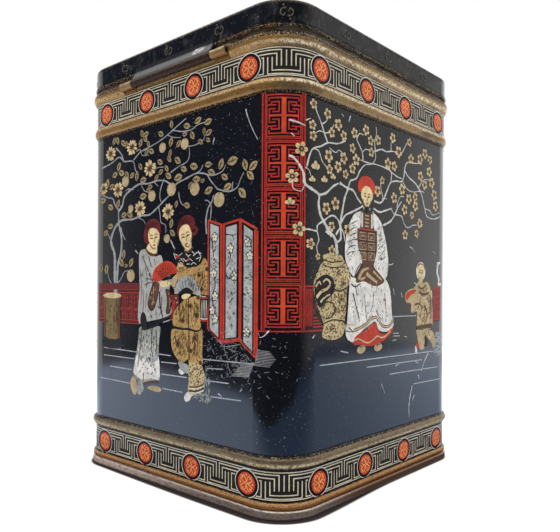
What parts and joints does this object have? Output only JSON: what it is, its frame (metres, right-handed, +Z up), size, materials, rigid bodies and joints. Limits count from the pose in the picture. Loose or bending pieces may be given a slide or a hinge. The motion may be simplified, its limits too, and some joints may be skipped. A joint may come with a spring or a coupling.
{
  "type": "hinged-lid tin",
  "caption": "Square lithographed caddy tin with swaged beads, a seamed foot, an inner collar and a lid on a knuckle hinge.",
  "frame": {"origin": "centre of the foot, on the surface that the tin stands on", "axes": "+Z up; the hinge runs along X at the back, +Y; the front is -Y"},
  "size_m": [0.1026, 0.1042, 0.1435],
  "materials": {
    "printed_black": "glossy black lithographed tinplate with antique gold, red and cream printing",
    "seam_steel": "worn steel with brown gold lacquer",
    "bare_tinplate": "dull bare tinplate",
    "hinge_strap": "rust-browned tinplate strap",
    "printed_gold": "worn antique gold ink",
    "printed_red": "glossy red ink",
    "printed_cream": "glossy cream ink",
    "printed_silver": "silver grey ink over tinplate",
    "pin_wire": "dull oxidised wire"
  },
  "bodies": {
    "body": {"body_wall": "printed_black", "base_panel": "seam_steel", "neck_collar": "bare_tinplate", "hinge_body_leaf_left": "hinge_strap", "hinge_body_leaf_right": "hinge_strap", "hinge_pin": "pin_wire"},
    "lid": {"lid_shell": "printed_black", "hinge_lid_leaf": "hinge_strap"}
  },
  "joints": [
    {"name": "lid_hinge", "type": "hinge", "parent": "body", "child": "lid", "pos_m": [-0.0022, 0.0516, 0.1324], "axis": [-1, 0, 0], "range_deg": [0, 110]}
  ]
}
